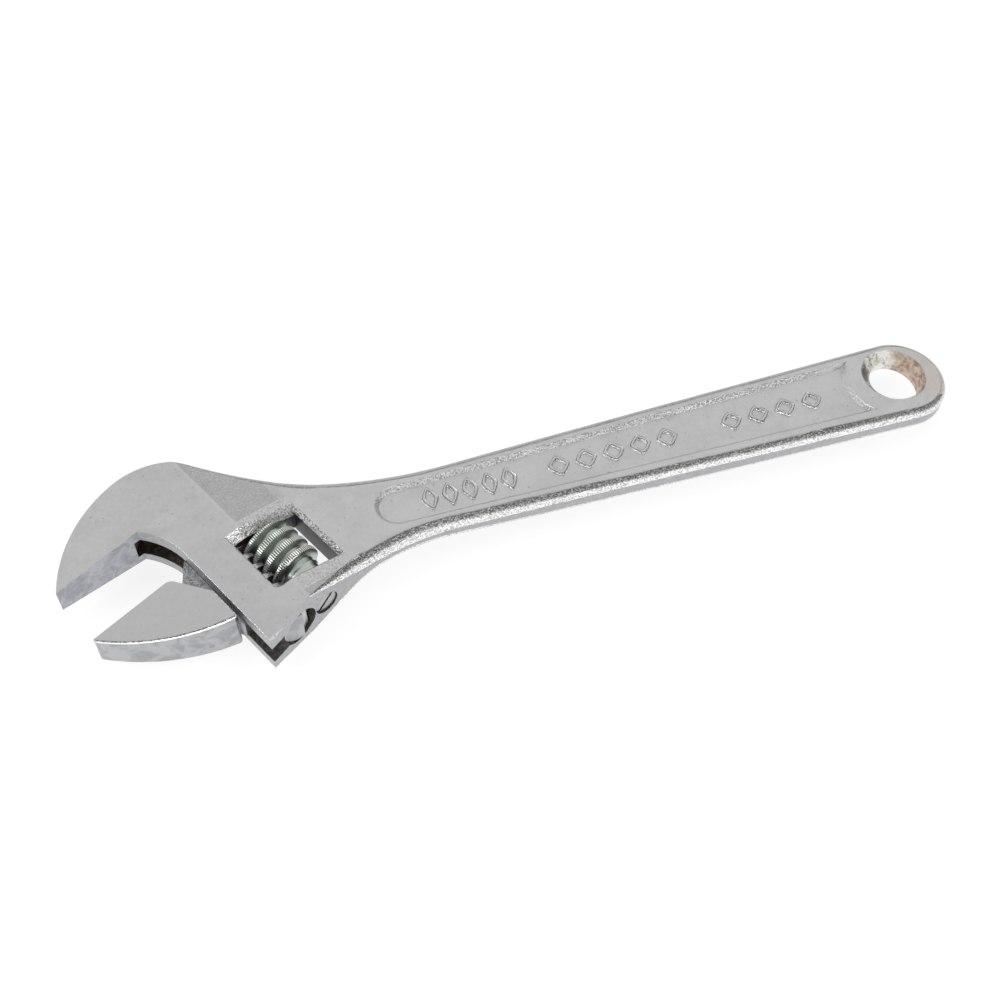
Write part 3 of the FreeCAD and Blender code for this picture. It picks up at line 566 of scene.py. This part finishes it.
# one turn of the thread, from the groove's middle: distance along the axis, radius, serration
THREAD = [
    (0.0, ROOT, 0.0), (0.42, ROOT, 0.0), (0.60, ROOT + 0.10, 0.0), (0.74, 5.25, 0.0), (0.90, 6.0, 0.1),
    (0.97, 6.22, 0.8), (1.05, 6.29, 1.0), (1.33, 6.30, 1.0), (1.60, 6.30, 1.0), (1.87, 6.30, 1.0),
    (2.15, 6.29, 1.0), (2.23, 6.22, 0.8), (2.30, 6.0, 0.1), (2.46, 5.25, 0.0), (2.60, ROOT + 0.10, 0.0),
    (2.78, ROOT, 0.0),
]


def worm_point(turn, radius, v):
    """A point on the worm: turn runs from 0 to 1 around its axis."""
    angle = turn * 2 * math.pi
    along_u = Vector((math.cos(HEAD_ANGLE), math.sin(HEAD_ANGLE), 0))
    outward = along_u * math.cos(angle) + Vector((0, 0, 1)) * math.sin(angle)
    return head_point(WORM_LINE, v, CHANNEL_HEIGHT) + outward * mm(radius)


def blank_radius(v):
    """The blank's radius at v: hub, then a hollow shoulder up to the full radius."""
    if v <= HUB_TOP:
        return WORM_HUB - HUB_BREAK * max(0.0, (WORM_LOW + END_BREAK - v) / END_BREAK)
    if v >= SHOULDER:
        return WORM_RADIUS - END_BREAK * max(0.0, (v - WORM_TOP + END_BREAK) / END_BREAK) ** 2
    share = (v - HUB_TOP) / (SHOULDER - HUB_TOP)
    return WORM_HUB + (WORM_RADIUS - WORM_HUB) * share**SHOULDER_POWER


def thread_line(bm, column, columns):
    """The thread's outline along the axis at one column, from below the worm to above it."""
    turn = column / columns
    saw = abs((column % PARTS_PER_TOOTH) / PARTS_PER_TOOTH * 2 - 1)
    notch = TOOTH_DEPTH * max(0.0, 1 - TOOTH_STEEPNESS * saw)
    rounds = int((GROOVE_START - WORM_LOW) / LEAD) + 3
    line = []
    for k in range(rounds, -2, -1):
        for step, radius, serrated in THREAD:
            v = GROOVE_START - LEAD * (turn + k) + step
            v = min(WORM_TOP, max(WORM_LOW, v))
            r = min(radius, blank_radius(v))
            if v > SHOULDER or r > TOOTH_FLOOR:
                r -= notch * serrated
            line.append(bm.verts.new(worm_point(turn, r, v)))
    return line


def join_lines(bm, here, there, shift):
    """Faces between two neighbouring lines, the second one read shift points along."""
    for index in range(len(here) - 1):
        other = index + shift
        if 0 <= other and other + 1 < len(there):
            corners = (here[index], there[other], there[other + 1], here[index + 1])
            if len(set(corners)) == 4:
                bm.faces.new(corners)


def build_worm():
    columns = TEETH * PARTS_PER_TOOTH
    bm = bmesh.new()
    lines = [thread_line(bm, column, columns) for column in range(columns)]
    for here, there in zip(lines, lines[1:]):
        join_lines(bm, here, there, 0)
    # the last line meets the first one a whole turn of the thread further on
    join_lines(bm, lines[-1], lines[0], -len(THREAD))

    # end faces, spring pocket and bore
    pocket_floor = WORM_TOP - SPRING_POCKET_DEPTH
    chain = [[line[-1] for line in lines]]
    for radius, v in (
        (SPRING_POCKET, WORM_TOP), (SPRING_POCKET, pocket_floor), (BORE, pocket_floor), (BORE, WORM_LOW),
    ):
        chain.append([bm.verts.new(worm_point(column / columns, radius, v)) for column in range(columns)])
    chain.append([line[0] for line in lines])
    for first, second in zip(chain, chain[1:]):
        bridge(bm, first, second)

    bmesh.ops.remove_doubles(bm, verts=bm.verts, dist=MERGE_DISTANCE)
    bmesh.ops.dissolve_degenerate(bm, edges=bm.edges, dist=SHORTEST_EDGE)
    loose = [vert for vert in bm.verts if not vert.link_faces]
    bmesh.ops.delete(bm, geom=loose, context="VERTS")
    bmesh.ops.recalc_face_normals(bm, faces=bm.faces)
    return mesh_object("serrated_worm", bm, 32)


worm = build_worm()
worm.data.materials.append(zinc_steel("worm_zinc", 0.56, 2.6, 0.10, 0.04))
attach(worm, "worm")
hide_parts("adjusting_worm")


# ------------------------------------------------------------------ raised marks on the panel

PANEL_FLOOR = 2.1
MARK_HEIGHT = 0.5
MARK_STROKE = 0.95
MARK_SLOPE = 0.16
MARK_POINTS = 32
MARK_ROOT = 0.15
MARK_EDGE = 0.05
MARK_EDGE_RUN = 0.08
CORNER_INSET = 1.15
LOZENGE_POWER = 1.6
# rows of lozenges: first centre's x, number, pitch, half length, half height
MARKS = [(-114.6, 5, 4.5, 2.0, 3.1), (-85.0, 5, 6.5, 2.7, 2.75), (-43.0, 4, 6.8, 2.7, 2.6)]


def lozenge(half_length, half_height, inset):
    """Points of a lozenge with softened corners, its outline drawn in by inset."""
    points = []
    for index in range(MARK_POINTS):
        angle = 2 * math.pi * index / MARK_POINTS
        c, s = math.cos(angle), math.sin(angle)
        px = (half_length - inset * CORNER_INSET) * math.copysign(abs(c) ** LOZENGE_POWER, c)
        py = (half_height - inset * CORNER_INSET) * math.copysign(abs(s) ** LOZENGE_POWER, s)
        points.append((px, py))
    return points


def build_marks(side):
    """Rows of raised lozenge outlines along the panel: a plain pattern in place of lettering."""
    bm = bmesh.new()
    rise = PANEL_FLOOR + MARK_HEIGHT
    root = PANEL_FLOOR - MARK_ROOT
    # the stroke's section, from its outer foot over the top to its inner foot: inset, level
    section = [
        (0.0, root), (MARK_SLOPE, rise - MARK_EDGE), (MARK_SLOPE + MARK_EDGE_RUN, rise),
        (MARK_STROKE - MARK_EDGE_RUN, rise), (MARK_STROKE, rise - MARK_EDGE),
        (MARK_STROKE + MARK_SLOPE, root),
    ]
    for first, number, pitch, half_length, half_height in MARKS:
        for index in range(number):
            x = first + pitch * index
            loops = []
            for inset, level in section:
                points = lozenge(half_length, half_height, inset)
                loops.append([bm.verts.new(Vector((x + px, py, side * level)) * MM) for px, py in points])
            for here, there in zip(loops, loops[1:] + loops[:1]):
                bridge(bm, here, there)
    bmesh.ops.recalc_face_normals(bm, faces=bm.faces)
    marks = mesh_object("panel_marks_top" if side > 0 else "panel_marks_below", bm, 40)
    marks.data.materials.append(forged)
    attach(marks, "wrench")


for side in (1, -1):
    build_marks(side)


# ------------------------------------------------------------------ floor

WHITE = (1.0, 1.0, 1.0, 1.0)
# the floor's side in metres, and how far in millimetres it lies below the part
FLOOR_SIZE = 12.0
FLOOR_GAP = 0.4
low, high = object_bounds()
middle = (low + high) / 2


def pale_paper(name):
    """Matt paper that glows a little, so that it stays pale under soft light."""
    material = bpy.data.materials.new(name)
    material.use_nodes = True
    nodes = Nodes(material.node_tree)
    shader = nodes.add("ShaderNodeBsdfPrincipled", Roughness=0.9)
    shader.inputs["Emission Color"].default_value = WHITE
    shader.inputs["Emission Strength"].default_value = 0.80
    shader.inputs["Specular IOR Level"].default_value = 0.0
    paper = nodes.noise(nodes.add("ShaderNodeTexCoord").outputs["Object"], 8.0, 3.0)
    nodes.feed(shader.inputs["Base Color"], nodes.mix(paper, tone(0.24), tone(0.26)))
    nodes.add("ShaderNodeOutputMaterial", Surface=shader.outputs[0])
    return material


def plane(name, size, height):
    """A level square under the part's middle, its size and height in metres."""
    half = size / 2
    mesh = bpy.data.meshes.new(name)
    corners = [(-half, -half), (half, -half), (half, half), (-half, half)]
    mesh.from_pydata([(middle.x + x, middle.y + y, height) for x, y in corners], [], [(0, 1, 2, 3)])
    made = bpy.data.objects.new(name, mesh)
    bpy.context.scene.collection.objects.link(made)
    return made


floor = plane("floor", FLOOR_SIZE, low.z - mm(FLOOR_GAP))
floor.data.materials.append(pale_paper("pale_floor"))


# ------------------------------------------------------------------ light


def softbox(name, offset, width, tall, power, colour=(1.0, 1.0, 1.0)):
    """An area light at an offset from the part's middle, turned to face it; lengths in metres."""
    light = bpy.data.lights.new(name, "AREA")
    light.shape = "RECTANGLE"
    light.size = width
    light.size_y = tall
    light.energy = power
    light.color = colour
    made = bpy.data.objects.new(name, light)
    made.location = middle + Vector(offset)
    made.rotation_mode = "QUATERNION"
    made.rotation_quaternion = (middle - made.location).to_track_quat("-Z", "Y")
    bpy.context.scene.collection.objects.link(made)
    return made


softbox("near_strip", (0.0, -1.2, 0.42), width=1.6, tall=0.10, power=7.0)
softbox("left_box", (-1.1, 0.1, 0.5), width=0.5, tall=0.4, power=5.0, colour=(0.97, 0.985, 1.0))
floor_wash = softbox("floor_wash", (0.0, 0.0, 2.2), width=3.5, tall=3.5, power=20.0)
floor_wash.visible_glossy = False


def studio_world(name):
    """A room whose far side is an even grey.  Overhead and in front it is dark, down to a bright
    band low in front, which the rolled edges pick up as a line."""
    world = bpy.data.worlds.new(name)
    world.use_nodes = True
    nodes = Nodes(world.node_tree)
    direction = nodes.add("ShaderNodeTexCoord").outputs["Generated"]
    upward = nodes.split(direction)[2]

    def towards(axis, low_cosine, high_cosine):
        """How much a direction points along an axis: 0 at the low cosine, 1 at the high one."""
        dot = nodes.add("ShaderNodeVectorMath", {"operation": "DOT_PRODUCT"})
        nodes.feed(dot.inputs[0], direction)
        dot.inputs[1].default_value = axis
        return nodes.step(dot.outputs["Value"], low_cosine, high_cosine)

    dark_ceiling = towards((-0.10, -0.60, 0.79), 0.60, 0.86)
    low_band = nodes.flip(nodes.step(upward, 0.26, 0.44))
    bright_front = nodes.times(towards((0.15, -0.98, 0.10), 0.25, 0.6), low_band)
    strength = nodes.blend(nodes.step(upward, 0.1, 0.9), 0.82, 0.78)
    strength = nodes.blend(dark_ceiling, strength, 0.07)
    strength = nodes.blend(bright_front, strength, 1.55)
    background = nodes.add("ShaderNodeBackground", Color=WHITE, Strength=strength)
    nodes.add("ShaderNodeOutputWorld", Surface=background.outputs[0])
    return world


bpy.context.scene.world = studio_world("studio")
bpy.context.scene.view_settings.view_transform = "Standard"


# ------------------------------------------------------------------ camera

CAMERA_PLACE = Vector((-163.995, -152.489, 230.985)) * MM
CAMERA_TARGET = Vector((-99.781, -3.383, 0.0)) * MM
CAMERA_ROLL = math.radians(4.7487)

camera = bpy.data.objects.new("camera", bpy.data.cameras.new("camera"))
camera.data.sensor_width = 36.0
camera.data.lens = 46.849
camera.data.clip_start = 0.01
camera.data.clip_end = 50.0
aim = (CAMERA_TARGET - CAMERA_PLACE).to_track_quat("-Z", "Y")
turn = aim @ Quaternion((0.0, 0.0, 1.0), CAMERA_ROLL)
camera.matrix_world = Matrix.LocRotScale(CAMERA_PLACE, turn, None)
bpy.context.scene.collection.objects.link(camera)
bpy.context.scene.camera = camera
